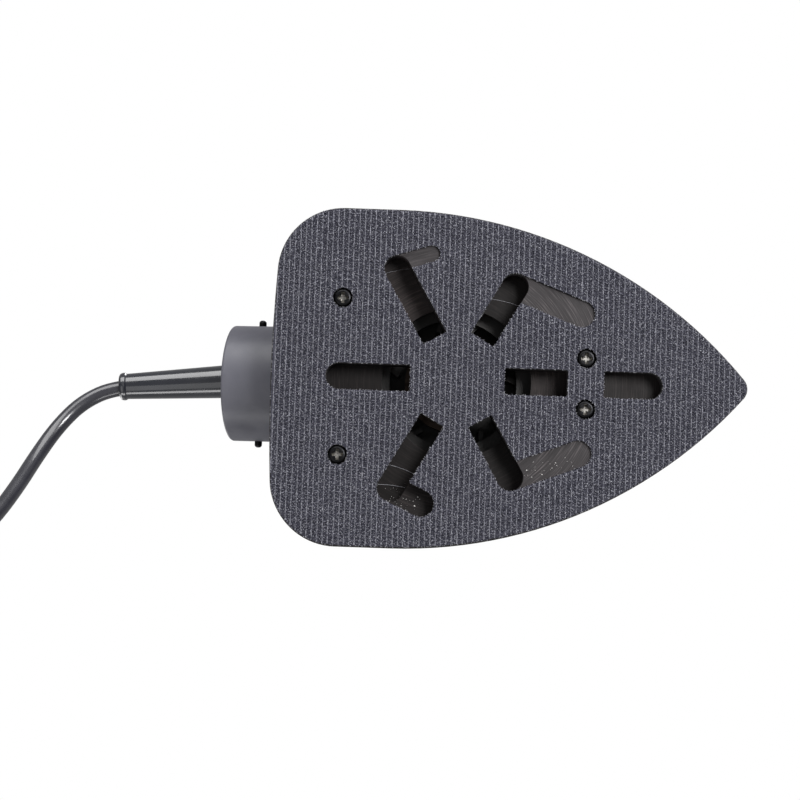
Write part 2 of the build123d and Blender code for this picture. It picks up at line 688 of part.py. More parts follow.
def housing():
    outer = housing_body(0.0)
    outer = outer - nose_cut(0.0)
    inner = housing_body(WALL) - nose_cut(WALL)
    inner = inner - block((-100, -100, HOUSING_TOP - WALL), (100, 100, 120))
    shell = (outer - inner) + shell_insides(outer)
    for x, y in LEG_PLACES.values():
        shell = shell - disc(SOCKET_RADIUS, 0, LEG_TOP + 1.2, x, y)
    cup_bottom = UPPER_BEARING_BOTTOM
    shell = shell - disc(BEARING_OUTER + 1.6, cup_bottom - 5, cup_bottom + BEARING_WIDTH + 1.4)
    shell = shell - disc(CHAMBER_RADIUS + 1.4, 0, CHAMBER_TOP + 2.4)
    shell = shell - disc(STATOR_RADIUS + 0.05, CHAMBER_TOP, MOTOR_TOP + 1)
    shell = shell - block((-13, -25.5, MOTOR_TOP), (13, 25.5, COMMUTATOR_TOP + 1))
    collar_hole = extrude(collar_plane(COLLAR_LENGTH + 24) * Circle(COLLAR_RADIUS), 60)
    shoulder_hole = extrude(collar_plane(COLLAR_LENGTH + 16) * Circle(COLLAR_RADIUS + 1.2), 17.6)
    shell = shell - collar_hole - shoulder_hole
    duct_clear = extrude(Plane(origin=(-29, 0, 24.4), z_dir=(-1, 0, 0)) * Circle(8.0), 30)
    shell = shell - duct_clear
    shell = shell - sleeve_hole() - switch_hole() - vent_slots() - clamp_room()
    for x, z in HOUSING_SCREWS:
        shell = shell - Pos(x, -6, z) * Rot(90, 0, 0) * Cylinder(HOUSING_SCREW_RADIUS, 40)
        shell = shell - Pos(x, -50 - HEAD_SEAT, z) * Rot(90, 0, 0) * Cylinder(2.7, 100)
    return shell - grip_body()


HEAD_SEAT = 15.0           # distance of the screw heads' seats from the centre plane


def half_shell(whole, side):
    low, high = (0, 200) if side > 0 else (-200, 0)
    half = whole & block((-200, low, -50), (200, high, 200))
    return biggest(half)


def biggest(shape):
    """The largest solid of a shape, without loose crumbs left by a cut."""
    solids = sorted(shape.solids(), key=lambda solid: solid.volume)
    return Part() + solids[-1]


def housing_screws():
    pieces = []
    for x, z in HOUSING_SCREWS:
        shank = Pos(x, 12 - HEAD_SEAT - 4, z) * Rot(90, 0, 0) * Cylinder(HOUSING_SCREW_RADIUS, 16)
        head = Pos(x, -HEAD_SEAT - 1.1, z) * Rot(90, 0, 0) * Cylinder(2.6, 2.2)
        pieces.append(shank + head)
    return group(pieces)


GRIP_THICKNESS = 1.5


def grip_body():
    """The palm grip: the body's top layer above a slanting parting surface."""
    outer = housing_body(0.0)
    core = housing_body(GRIP_THICKNESS)
    core = core - block((-100, -100, HOUSING_TOP - GRIP_THICKNESS), (100, 100, 120))
    cap = outer - core
    parting = Pos(-3, 0, 78.0 + 30) * Rot(0, 8, 0) * Box(140, 140, 60)
    return cap & parting


def top_grip():
    return biggest(grip_body())


# ---- switch -------------------------------------------------------------------------------

def switch_hole():
    return switch_frame() * Pos(0, 0, -10) * Box(2 * SWITCH_HALF_LENGTH, 2 * SWITCH_HALF_WIDTH, 40)


def switch_bezel():
    """Frame of the switch: a flange on the facet and a box below it."""
    flange = Pos(0, 0, 0.7) * Box(2 * SWITCH_HALF_LENGTH + 3.6, 2 * SWITCH_HALF_WIDTH + 3.6, 1.4)
    flange = fillet(flange.edges().filter_by(Axis.Z), 2.4)
    flange = chamfer(flange.faces().sort_by(Axis.Z)[-1].edges(), 0.5)
    box = Pos(0, 0, -5) * Box(2 * SWITCH_HALF_LENGTH - 0.2, 2 * SWITCH_HALF_WIDTH - 0.2, 10.0)
    opening = Pos(0, 0, -4) * Box(2 * SWITCH_HALF_LENGTH - 2.4, 2 * SWITCH_HALF_WIDTH - 2.4, 16)
    return switch_frame() * (flange + box - opening)


ROCKER_PIVOT = -3.0
ROCKER_SWING = 7.0


def rocker_button():
    """Rocker with a raised end, tilted to its off position about a pin through its middle."""
    half_length = SWITCH_HALF_LENGTH - 2.3
    half_width = SWITCH_HALF_WIDTH - 1.7
    left = half_length
    waist = left - 1.4
    profile = make_face(Polyline(
        (-left, 2.2), (0, 0.6), (left, 2.2), (waist, -5.4), (-waist, -5.4), close=True))
    body = extrude(Plane.XZ * profile, half_width, both=True)
    body = fillet(body.edges().filter_by(Axis.Y).sort_by(Axis.Z)[-3:], 0.5)
    body = body - Pos(0, 0, ROCKER_PIVOT) * Rot(90, 0, 0) * Cylinder(1.0 + FIT_GAP, 40)
    swing = Pos(0, 0, ROCKER_PIVOT) * Rot(0, ROCKER_SWING, 0) * Pos(0, 0, -ROCKER_PIVOT)
    return switch_frame() * swing * body


def rocker_pin():
    length = 2 * SWITCH_HALF_WIDTH - 2.4
    return switch_frame() * Pos(0, 0, ROCKER_PIVOT) * Rot(90, 0, 0) * Cylinder(1.0, length)


def switch_body():
    """Contact block under the rocker, with two blade terminals."""
    body = Pos(0, 0, -12.5) * Box(2 * SWITCH_HALF_LENGTH - 3.0, 2 * SWITCH_HALF_WIDTH - 3.0, 5.0)
    for x in (-4.0, 4.0):
        body = body + Pos(x, 0, -16.2) * Box(0.8, 4.8, 3.0)
    return switch_frame() * body


# ---- cord ---------------------------------------------------------------------------------

def sleeve_plane(distance):
    """Plane across the sleeve's axis, a distance out from its start."""
    turn = math.radians(SLEEVE_TURN)
    direction = (-math.cos(turn), math.sin(turn), 0)
    origin = [SLEEVE_START[i] + direction[i] * distance for i in range(3)]
    return Plane(origin=tuple(origin), x_dir=(0, 0, 1), z_dir=direction)


SLEEVE_LENGTH = math.dist(SLEEVE_START, SLEEVE_TIP)
SLEEVE_ROOT_RADIUS = 6.2
SLEEVE_TIP_RADIUS = 4.15
SLEEVE_BEAD = 0.4          # height of the bead round the sleeve's tip
SLEEVE_BORE = 2.62


def strain_relief():
    """Tapered sleeve with a collar and groove at the housing wall and a bead at its tip."""
    inside = 6.0
    wall_end = 3.4
    tip = SLEEVE_LENGTH
    bead = SLEEVE_TIP_RADIUS + SLEEVE_BEAD
    profile = make_face(Polyline(
        (SLEEVE_BORE, -inside), (7.6, -inside), (7.6, -2.6), (SLEEVE_ROOT_RADIUS, -2.6),
        (SLEEVE_ROOT_RADIUS, wall_end), (SLEEVE_TIP_RADIUS, tip - 2.4), (bead - 0.1, tip - 2.0),
        (bead, tip - 1.4), (bead - 0.1, tip - 0.8), (SLEEVE_TIP_RADIUS, tip - 0.3),
        (SLEEVE_TIP_RADIUS - 0.5, tip), (SLEEVE_BORE, tip), close=True))
    body = revolve(Plane.XZ * profile, Axis.Z)
    return sleeve_plane(0.0).location * body


def sleeve_hole():
    near = extrude(sleeve_plane(-2.6) * Circle(SLEEVE_ROOT_RADIUS), 14)
    deep = extrude(sleeve_plane(-14.0) * Circle(7.7), 11.4)
    return near + deep


def clamp_room():
    return block((-42.5, -11, 54.0), (-27.0, 11, 69.0))


def cord_clamp():
    """Bridge over the cord just inside the housing, with two screw lugs."""
    bridge = block((-40, -9.5, 54.2), (-33, 9.5, 57.4))
    for y in (-6.6, 6.6):
        bridge = bridge - disc(1.3, 50, 70, -36.5, y)
    return bridge


def cord_clamp_screws():
    pieces = []
    for y in (-6.6, 6.6):
        pieces.append(disc(1.3, 53.2, 57.4, -36.5, y) + disc(2.4, 57.4, 59.2, -36.5, y))
    return group(pieces)


def capacitor():
    body = block((25.0, -5.5, 55.0), (30.0, 5.5, 65.5))
    return fillet(body.edges().filter_by(Axis.Z), 1.2)


def route_radii(points):
    """Largest tangent arc for each corner of a route: 0.45 of the shorter run over the turn's tangent."""
    radii = []
    for a, b, c in zip(points, points[1:], points[2:]):
        first = Vector(*b) - Vector(*a)
        second = Vector(*c) - Vector(*b)
        turn = math.radians(first.get_angle(second))
        radii.append(0.45 * min(first.length, second.length) / math.tan(turn / 2))
    return radii


def tube_along(points, name):
    radii = route_radii(points)
    wire = FilletPolyline(*points, radius=radii)
    section = Plane(origin=wire @ 0, z_dir=wire % 0) * Circle(CORD_DIAMETER / 2)
    tube = sweep(section, path=wire)
    expected = math.pi * (CORD_DIAMETER / 2) ** 2 * wire.length
    print(name, "radii", [round(r, 1) for r in radii], "length", round(wire.length, 1),
          "volume ratio", round(tube.volume / expected, 4))
    return tube


def cord_coil():
    x, y = COIL_CENTRE
    coil = ring(COIL_OUTER, COIL_INNER, 0.1, COIL_HEIGHT, x, y)
    return fillet(coil.edges().filter_by(GeomType.CIRCLE), 2.0)


PLUG_HALF_WIDTH = 17.6
PLUG_HALF_THICKNESS = 6.85
PLUG_LENGTH = 32.0
PLUG_PIN_SPACING = 18.6
PLUG_PIN_RADIUS = 2.0
PLUG_BOOT = 10.0           # length of the boot round the cord


def plug_frame():
    """Plug frame: origin at the cord's entry, +X out along the pins, flat on the resting surface."""
    return Location(PLUG_ENTRY) * Rot(0, 0, -90)


def plug_body():
    """Flat two-pin plug: a tapered boot and a waisted body."""
    half = PLUG_HALF_WIDTH
    face_x = PLUG_BOOT + PLUG_LENGTH
    upper = [(0, 3.6), (PLUG_BOOT, 5.0), (16, half - 4), (24, half), (face_x, 13.5)]
    lower = [(x, -y) for x, y in reversed(upper)]
    plan = make_face(Polyline(*upper, *lower, close=True))
    body = Pos(0, 0, -PLUG_HALF_THICKNESS) * extrude(plan, 2 * PLUG_HALF_THICKNESS)
    body = fillet(body.edges().filter_by(Axis.Z), 2.0)
    trim = block((-1, -30, -3.6), (12, 30, 3.6)) + block((PLUG_BOOT - 1, -30, -30), (80, 30, 30))
    body = body & trim
    for side in (1, -1):
        socket = Pos(face_x - 1, side * PLUG_PIN_SPACING / 2, 0)
        body = body - socket * Rot(0, 90, 0) * Cylinder(PLUG_PIN_RADIUS, 8)
    return plug_frame() * body


def plug_pins():
    pieces = []
    for side in (1, -1):
        y = side * PLUG_PIN_SPACING / 2
        pin = Pos(PLUG_BOOT + PLUG_LENGTH + 7.0, y, 0) * Rot(0, 90, 0) * Cylinder(PLUG_PIN_RADIUS, 24)
        end = pin.edges().filter_by(GeomType.CIRCLE).sort_by(Axis.X)[-1]
        pieces.append(plug_frame() * fillet(end, 1.2))
    return group(pieces)


# ---- everything ---------------------------------------------------------------------------

def build_parts():
    parts = {}
    on_plate = Pos(ORBIT_RADIUS, 0, 0)
    parts["hook_face"] = on_plate * hook_face()
    parts["foam_pad"] = on_plate * foam_pad()
    parts["base_plate"] = on_plate * base_plate()
    parts["leg_screws"] = on_plate * leg_screws()
    for name, (x, y) in LEG_PLACES.items():
        parts[name] = on_plate * leg(x, y)

    places = {
        "pad_bearing": (PAD_BEARING_BOTTOM, ORBIT_RADIUS),
        "lower_bearing": (LOWER_BEARING_BOTTOM, 0.0),
        "upper_bearing": (UPPER_BEARING_BOTTOM, 0.0),
    }
    for name, (bottom, x) in places.items():
        outer, inner, balls = bearing(bottom)
        parts[name + "_outer_ring"] = Pos(x, 0, 0) * outer
        parts[name + "_inner_ring"] = Pos(x, 0, 0) * inner
        parts[name + "_balls"] = Pos(x, 0, 0) * balls

    parts["motor_shaft"] = motor_shaft()
    parts["retaining_screw"] = retaining_screw()
    parts["retaining_washer"] = retaining_washer()
    parts["counterweight"] = counterweight()
    parts["fan"] = fan()
    parts["armature_core"] = armature_core()
    parts["armature_winding"] = armature_winding()
    parts["commutator"] = commutator()

    parts["stator_core"] = stator_core()
    for name, side in (("front_field_winding", 1), ("rear_field_winding", -1)):
        parts[name] = field_winding(side)
    for hand, side in (("left", 1), ("right", -1)):
        parts[hand + "_brush"] = brush(side)
        parts[hand + "_brush_holder"] = brush_holder(side)
        parts[hand + "_brush_spring"] = brush_spring(side)
    parts["upper_bearing_cup"] = upper_bearing_cup()
    parts["bearing_bracket"] = bearing_bracket()
    parts["stator_screws"] = stator_screws()

    parts["fan_shroud"] = fan_shroud()
    parts["dust_seal"] = dust_seal()
    parts["dust_duct"] = dust_duct()
    parts["dust_collar"] = dust_collar()
    parts["bayonet_pins"] = bayonet_pins()

    whole = housing()
    parts["left_shell"] = half_shell(whole, 1)
    parts["right_shell"] = half_shell(whole, -1)
    parts["housing_screws"] = housing_screws()
    parts["top_grip"] = top_grip()

    parts["switch_bezel"] = switch_bezel()
    parts["rocker_button"] = rocker_button()
    parts["rocker_pin"] = rocker_pin()
    parts["switch_body"] = switch_body()

    parts["strain_relief"] = strain_relief()
    parts["cord_clamp"] = cord_clamp()
    parts["cord_clamp_screws"] = cord_clamp_screws()
    parts["capacitor"] = capacitor()
    parts["power_cord"] = tube_along(CORD_ROUTE, "power_cord")
    parts["cord_coil"] = cord_coil()
    parts["cord_tail"] = tube_along(TAIL_ROUTE, "cord_tail")
    parts["plug_body"] = plug_body()
    parts["plug_pins"] = plug_pins()
    return parts


def write_parts():
    os.makedirs("parts", exist_ok=True)
    for name, shape in build_parts().items():
        export_step(shape, f"parts/{name}.step")


if __name__ == "__main__":
    write_parts()
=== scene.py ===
"""Looks of the detail mouse sander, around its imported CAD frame. Lengths are in metres."""

import json
import math
import random

import bpy
from mathutils import Matrix, Vector
from mathutils.bvhtree import BVHTree


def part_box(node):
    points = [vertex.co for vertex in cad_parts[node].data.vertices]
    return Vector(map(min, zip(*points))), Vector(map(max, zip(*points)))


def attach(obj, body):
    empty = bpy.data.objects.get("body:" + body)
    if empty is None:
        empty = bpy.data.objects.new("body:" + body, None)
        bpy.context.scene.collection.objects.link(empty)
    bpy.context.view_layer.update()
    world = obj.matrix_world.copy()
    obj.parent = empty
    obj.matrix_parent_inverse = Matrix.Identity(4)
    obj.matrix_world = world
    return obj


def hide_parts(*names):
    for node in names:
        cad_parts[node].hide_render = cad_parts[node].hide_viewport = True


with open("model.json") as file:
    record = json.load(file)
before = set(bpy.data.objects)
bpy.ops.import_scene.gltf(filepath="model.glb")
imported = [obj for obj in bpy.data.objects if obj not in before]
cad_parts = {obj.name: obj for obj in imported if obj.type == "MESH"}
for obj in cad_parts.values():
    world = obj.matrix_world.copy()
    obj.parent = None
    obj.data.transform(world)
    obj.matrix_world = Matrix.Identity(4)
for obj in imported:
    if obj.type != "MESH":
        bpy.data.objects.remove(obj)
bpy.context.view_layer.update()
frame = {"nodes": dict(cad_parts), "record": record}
nodes = frame["nodes"]
MM = 0.001

# ---- camera: below the sole, looking up ----------------------------------------------------

CAMERA_TILT = math.radians(4.2)
CAMERA_ROLL = math.radians(1.95)
CAMERA_PLACE = (-0.0158, 0.0445, -0.5156)
CAMERA_LENS = 79.56        # lens and sensor in millimetres
SENSOR_WIDTH = 36.0
NEAREST_SEEN = 0.01


def make_camera():
    """Looks up at the sole, tilted and rolled by a few degrees."""
    data = bpy.data.cameras.new("camera")
    data.lens = CAMERA_LENS
    data.sensor_width = SENSOR_WIDTH
    data.clip_start = NEAREST_SEEN
    camera = bpy.data.objects.new("camera", data)
    bpy.context.scene.collection.objects.link(camera)
    forward = Vector((0, -math.sin(CAMERA_TILT), math.cos(CAMERA_TILT)))
    right = Vector((1, 0, 0))
    down = Vector((0, math.cos(CAMERA_TILT), math.sin(CAMERA_TILT)))
    rolled_right = math.cos(CAMERA_ROLL) * right - math.sin(CAMERA_ROLL) * down
    rolled_down = math.sin(CAMERA_ROLL) * right + math.cos(CAMERA_ROLL) * down
    turn = Matrix((rolled_right, -rolled_down, -forward)).transposed()
    camera.matrix_world = Matrix.Translation(CAMERA_PLACE) @ turn.to_4x4()
    bpy.context.scene.camera = camera


make_camera()

# ---- materials -----------------------------------------------------------------------------


def new_material(name, color, roughness, specular=0.5, metallic=0.0, coat=0.0, sheen=0.0):
    """A Principled material and the handles that its detail is added to."""
    material = bpy.data.materials.new(name)
    material.use_nodes = True
    tree = material.node_tree
    shader = tree.nodes["Principled BSDF"]
    shader.inputs["Base Color"].default_value = (*color, 1.0)
    shader.inputs["Roughness"].default_value = roughness
    shader.inputs["Specular IOR Level"].default_value = specular
    shader.inputs["Metallic"].default_value = metallic
    shader.inputs["Coat Weight"].default_value = coat
    shader.inputs["Sheen Weight"].default_value = sheen
    return material, tree, shader


def object_coordinates(tree):
    return tree.nodes.new("ShaderNodeTexCoord").outputs["Object"]


def noise(tree, scale, detail=3.0, stretch=None):
    """Cloudy noise over the piece's own coordinates; scale is cells per metre."""
    node = tree.nodes.new("ShaderNodeTexNoise")
    node.inputs["Scale"].default_value = scale
    node.inputs["Detail"].default_value = detail
    node.inputs["Roughness"].default_value = 0.55
    source = object_coordinates(tree)
    if stretch:
        mapping = tree.nodes.new("ShaderNodeMapping")
        mapping.inputs["Scale"].default_value = stretch
        tree.links.new(source, mapping.inputs["Vector"])
        source = mapping.outputs["Vector"]
    tree.links.new(source, node.inputs["Vector"])
    return node.outputs["Fac"]


def ramp(tree, factor, stops):
    """Colour ramp over a factor: stops are (position, colour)."""
    node = tree.nodes.new("ShaderNodeValToRGB")
    elements = node.color_ramp.elements
    while len(elements) > len(stops):
        elements.remove(elements[-1])
    while len(elements) < len(stops):
        elements.new(1.0)
    for element, (position, color) in zip(elements, stops):
        element.position = position
        element.color = (*color, 1.0)
    tree.links.new(factor, node.inputs["Fac"])
    return node.outputs["Color"]


def remap(tree, factor, low, high, from_low=0.3, from_high=0.7):
    """Moves a factor from one range to another; the first range suits noise."""
    node = tree.nodes.new("ShaderNodeMapRange")
    node.inputs["From Min"].default_value = from_low
    node.inputs["From Max"].default_value = from_high
    node.inputs["To Min"].default_value = low
    node.inputs["To Max"].default_value = high
    tree.links.new(factor, node.inputs["Value"])
    return node.outputs["Result"]


def bump(tree, shader, height, distance, strength=1.0):
    """Adds a bump on top of whatever bump the shader already has."""
    node = tree.nodes.new("ShaderNodeBump")
    node.inputs["Distance"].default_value = distance
    node.inputs["Strength"].default_value = strength
    tree.links.new(height, node.inputs["Height"])
    if shader.inputs["Normal"].is_linked:
        tree.links.new(shader.inputs["Normal"].links[0].from_socket, node.inputs["Normal"])
    tree.links.new(node.outputs["Normal"], shader.inputs["Normal"])


def vary_color(tree, shader, scale, dark, light, stretch=None):
    factor = noise(tree, scale, 4.0, stretch=stretch)
    color = ramp(tree, factor, [(0.32, dark), (0.68, light)])
    tree.links.new(color, shader.inputs["Base Color"])


def vary_roughness(tree, shader, scale, low, high):
    factor = noise(tree, scale, 5.0)
    tree.links.new(remap(tree, factor, low, high), shader.inputs["Roughness"])


SPARK_DEPTH = 0.00003      # depth of the texture that the mould leaves


def moulded(name, dark, light, rough):
    """Spark-textured moulded plastic."""
    material, tree, shader = new_material(name, light, rough, 0.4)
    vary_color(tree, shader, 60.0, dark, light)
    vary_roughness(tree, shader, 240.0, rough - 0.07, rough + 0.07)
    bump(tree, shader, noise(tree, 2600.0, 2.0), SPARK_DEPTH, 0.6)
    bump(tree, shader, noise(tree, 420.0, 2.0), 1.4 * SPARK_DEPTH, 0.25)
    return material


def dimpled_rubber():
    """Soft grip rubber with a fine pattern of raised dots."""
    material, tree, shader = new_material("grip_rubber", (0.022, 0.022, 0.024), 0.6, 0.35, sheen=0.05)
    vary_color(tree, shader, 120.0, (0.020, 0.020, 0.022), (0.027, 0.027, 0.030))
    vary_roughness(tree, shader, 160.0, 0.55, 0.70)
    dots = tree.nodes.new("ShaderNodeTexVoronoi")
    dots.inputs["Scale"].default_value = 520.0
    dots.inputs["Randomness"].default_value = 0.15
    tree.links.new(object_coordinates(tree), dots.inputs["Vector"])
    bump(tree, shader, remap(tree, dots.outputs["Distance"], 1.0, 0.0, 0.15, 0.45), 0.00025, 0.8)
    bump(tree, shader, noise(tree, 2400.0, 2.0), 0.00003, 0.4)
    return material


def rubbery(name, dark, light, rough):
    """Matt rubber or felt."""
    material, tree, shader = new_material(name, light, rough, 0.35, sheen=0.08)
    vary_color(tree, shader, 90.0, dark, light)
    vary_roughness(tree, shader, 160.0, rough - 0.08, rough + 0.1)
    bump(tree, shader, noise(tree, 1500.0, 3.0), 0.00004, 0.5)
    return material


def glossy(name, dark, light, rough, coat=0.25):
    """Smooth polished plastic, with a clear coat for its shine."""
    material, tree, shader = new_material(name, light, rough, 0.5, coat=coat)
    vary_color(tree, shader, 80.0, dark, light)
    vary_roughness(tree, shader, 130.0, rough - 0.04, rough + 0.1)
    bump(tree, shader, noise(tree, 260.0, 2.0), 0.00003, 0.3)
    return material


def metal(name, dark, light, rough, stretch=(1.0, 1.0, 12.0)):
    """Bare metal; stretch draws its grain out along one axis."""
    material, tree, shader = new_material(name, light, rough, 0.5, metallic=1.0)
    vary_color(tree, shader, 500.0, dark, light, stretch=stretch)
    vary_roughness(tree, shader, 700.0, rough - 0.08, rough + 0.12)
    bump(tree, shader, noise(tree, 1400.0, 2.0, stretch=stretch), 0.00001, 0.4)
    return material


BAND_DEPTH = 0.00008       # depth of the groove between two bands


def banded(name, dark, light, rough, metallic, pitch, direction="Z"):
    """Regular fine bands, as on stacked laminations or windings."""
    material, tree, shader = new_material(name, light, rough, 0.5, metallic=metallic)
    wave = tree.nodes.new("ShaderNodeTexWave")
    wave.wave_type = "BANDS"
    wave.bands_direction = direction
    wave.inputs["Scale"].default_value = 1.0 / pitch / math.pi
    wave.inputs["Distortion"].default_value = 0.6
    wave.inputs["Detail"].default_value = 1.0
    tree.links.new(object_coordinates(tree), wave.inputs["Vector"])
    colors = ramp(tree, wave.outputs["Fac"], [(0.2, dark), (0.8, light)])
    tree.links.new(colors, shader.inputs["Base Color"])
    bump(tree, shader, wave.outputs["Fac"], BAND_DEPTH, 0.7)
    return material


def calculate(tree, operation, a, b=0.0):
    """One Math node; a and b are sockets or numbers."""
    node = tree.nodes.new("ShaderNodeMath")
    node.operation = operation
    for socket, value in zip(node.inputs, (a, b)):
        if isinstance(value, (int, float)):
            socket.default_value = value
        else:
            tree.links.new(value, socket)
    return node.outputs[0]


def separate(tree):
    """The piece's own coordinates, as X, Y and Z."""
    node = tree.nodes.new("ShaderNodeSeparateXYZ")
    tree.links.new(object_coordinates(tree), node.inputs["Vector"])
    return node.outputs


def distance_from(tree, x, y):
    """How far a place is from an upright axis; x and y are sockets or numbers."""
    place = separate(tree)
    squares = []
    for coordinate, centre in ((place["X"], x), (place["Y"], y)):
        offset = calculate(tree, "SUBTRACT", coordinate, centre)
        squares.append(calculate(tree, "MULTIPLY", offset, offset))
    return calculate(tree, "SQRT", calculate(tree, "ADD", *squares))


FRONT_SCREW = (0.0386, 0.0075)     # one of each pair, which mirror each other in Y
REAR_SCREW = (-0.0336, 0.0231)
RECESS_RADIUS = 0.0017
RECESS_BOTTOM = 0.0010     # just above the head's lower face, so that only its recess gets the painted highlight
BLACK_OXIDE = (0.016, 0.016, 0.017)
PAINTED_RECESS_HIGHLIGHT = (0.40, 0.385, 0.36)


def sole_screw_material():
    """Black oxide steel, with a painted highlight of pale steel in the cross recess, where its slanted
    walls would catch the light.
    """
    material, tree, shader = new_material("black_screw", (0.04, 0.04, 0.04), 0.3, 0.5, metallic=1.0)
    place = separate(tree)
    front = calculate(tree, "GREATER_THAN", place["X"], 0.0)
    centre = []
    for front_place, rear_place in zip(FRONT_SCREW, REAR_SCREW):
        step = calculate(tree, "MULTIPLY", front, front_place - rear_place)
        centre.append(calculate(tree, "ADD", step, rear_place))
    side = calculate(tree, "SIGN", place["Y"])
    distance = distance_from(tree, centre[0], calculate(tree, "MULTIPLY", centre[1], side))
    near = calculate(tree, "LESS_THAN", distance, RECESS_RADIUS)
    inside = calculate(tree, "MULTIPLY", near, calculate(tree, "GREATER_THAN", place["Z"], RECESS_BOTTOM))
    # painted highlight: pale mottled steel only inside the cross recess, where its walls would glint
    painted_highlight = calculate(tree, "MULTIPLY", inside, remap(tree, noise(tree, 1500.0, 3.0), 0.3, 1.0))
    colors = ramp(tree, painted_highlight, [(0.0, BLACK_OXIDE), (1.0, PAINTED_RECESS_HIGHLIGHT)])
    tree.links.new(colors, shader.inputs["Base Color"])
    vary_roughness(tree, shader, 700.0, 0.24, 0.42)
    return material


RAISED_FLOOR = 0.0017      # heights of the plate's faces that show through the openings
ARM_FLOOR = 0.0072
CHANNEL_FLOOR = 0.0098
DEPTH_SHADE_COLORS = [           # painted shade: darker from the raised floors up into the dust channels
    (0.0, (0.034, 0.031, 0.033)),
    (0.55, (0.0150, 0.0125, 0.0130)),
    (0.80, (0.0155, 0.0130, 0.0130)),
    (1.0, (0.0085, 0.0068, 0.0068)),
]
DUST_AND_LIGHT_PATCHES = [             # x, y, reach in metres and how much lighter the patch makes the floor; partly a pale film of dust, partly painted light
    (-0.0140, -0.0250, 0.0170, 3.4),
    (0.0270, 0.0, 0.0100, 3.0),
]
PATCH_CORE = 0.35           # share of the reach over which a patch is at its lightest
STREAK_ACROSS = 3400.0     # noise cells per metre across and along the mould rings
STREAK_ALONG = 130.0
STREAK_MEAN = 0.5          # what an upright wall gets, where no streak shows
STREAK_TINTS = [           # streaks multiply the floor's colour, from dark scratches to pale ones
    (0.30, (0.66, 0.65, 0.64)),
    (0.52, (0.95, 0.94, 0.93)),
    (0.62, (1.4, 1.38, 1.35)),
    (0.74, (2.7, 2.6, 2.5)),
]
LEVEL_NORMAL = 0.5         # a face counts as level when the upright part of its normal is larger


def ring_streaks(tree):
    """Noise drawn out into arcs round the hub, on level faces, as moulding and dust leave them."""
    place = separate(tree)
    vector = tree.nodes.new("ShaderNodeCombineXYZ")
    radius = distance_from(tree, 0.0, 0.0)
    tree.links.new(calculate(tree, "MULTIPLY", radius, STREAK_ACROSS), vector.inputs["X"])
    tree.links.new(calculate(tree, "MULTIPLY", place["X"], STREAK_ALONG), vector.inputs["Y"])
    tree.links.new(calculate(tree, "MULTIPLY", place["Y"], STREAK_ALONG), vector.inputs["Z"])
    node = tree.nodes.new("ShaderNodeTexNoise")
    node.inputs["Scale"].default_value = 1.0
    node.inputs["Detail"].default_value = 3.0
    tree.links.new(vector.outputs["Vector"], node.inputs["Vector"])
    normal = tree.nodes.new("ShaderNodeSeparateXYZ")
    tree.links.new(tree.nodes.new("ShaderNodeNewGeometry").outputs["Normal"], normal.inputs["Vector"])
    upright = calculate(tree, "ABSOLUTE", normal.outputs["Z"])
    level_face = calculate(tree, "GREATER_THAN", upright, LEVEL_NORMAL)
    contrast = calculate(tree, "SUBTRACT", node.outputs["Fac"], STREAK_MEAN)
    return calculate(tree, "ADD", calculate(tree, "MULTIPLY", contrast, level_face), STREAK_MEAN)


def plate_material():
    """Plastic with faint mould rings, with painted shade that darkens it deep in its channels, and with
    lighter patches that are partly pale films of dust and partly painted light.
    """
    material, tree, shader = new_material("plate_plastic", (0.03, 0.028, 0.029), 0.5, 0.16)
    height = separate(tree)["Z"]
    level = remap(tree, height, 0.0, 1.0, RAISED_FLOOR, CHANNEL_FLOOR)
    streaks = ring_streaks(tree)
    mix = tree.nodes.new("ShaderNodeMix")
    mix.data_type = "RGBA"
    mix.blend_type = "MULTIPLY"
    mix.inputs["Factor"].default_value = 1.0
    # painted shade: the colour darkens the deeper the floor lies in the channels
    tree.links.new(ramp(tree, level, DEPTH_SHADE_COLORS), mix.inputs["A"])
    tree.links.new(ramp(tree, streaks, STREAK_TINTS), mix.inputs["B"])
    # lighter patches, partly pale films of dust and partly painted light, only on floors below the raised
    # ones
    dust_and_light = 1.0
    for x, y, reach, gain in DUST_AND_LIGHT_PATCHES:
        near = remap(tree, distance_from(tree, x, y), gain, 1.0, PATCH_CORE * reach, reach)
        dust_and_light = calculate(tree, "MULTIPLY", near, dust_and_light)
    deep = calculate(tree, "GREATER_THAN", height, 1.5 * RAISED_FLOOR)
    dust_and_light = calculate(tree, "POWER", dust_and_light, deep)
    dusted_and_lit = tree.nodes.new("ShaderNodeVectorMath")
    dusted_and_lit.operation = "SCALE"
    tree.links.new(mix.outputs["Result"], dusted_and_lit.inputs["Vector"])
    tree.links.new(dust_and_light, dusted_and_lit.inputs["Scale"])
    tree.links.new(dusted_and_lit.outputs["Vector"], shader.inputs["Base Color"])
    bump(tree, shader, streaks, 0.00004, 0.5)
    bump(tree, shader, noise(tree, 900.0, 3.0), 0.00005, 0.5)
    vary_roughness(tree, shader, 120.0, 0.42, 0.62)
    return material


def collar_material():
    """Satin blue-grey plastic with fine turning marks round the collar."""
    material, tree, shader = new_material("collar_plastic", (0.15, 0.15, 0.178), 0.42, 0.32)
    vary_color(tree, shader, 90.0, (0.070, 0.070, 0.085), (0.092, 0.092, 0.109))
    bump(tree, shader, noise(tree, 700.0, 3.0, stretch=(3.0, 0.6, 0.6)), 0.00003, 0.5)
    bump(tree, shader, noise(tree, 2400.0, 2.0), 0.00002, 0.4)
    vary_roughness(tree, shader, 160.0, 0.34, 0.5)
    return material


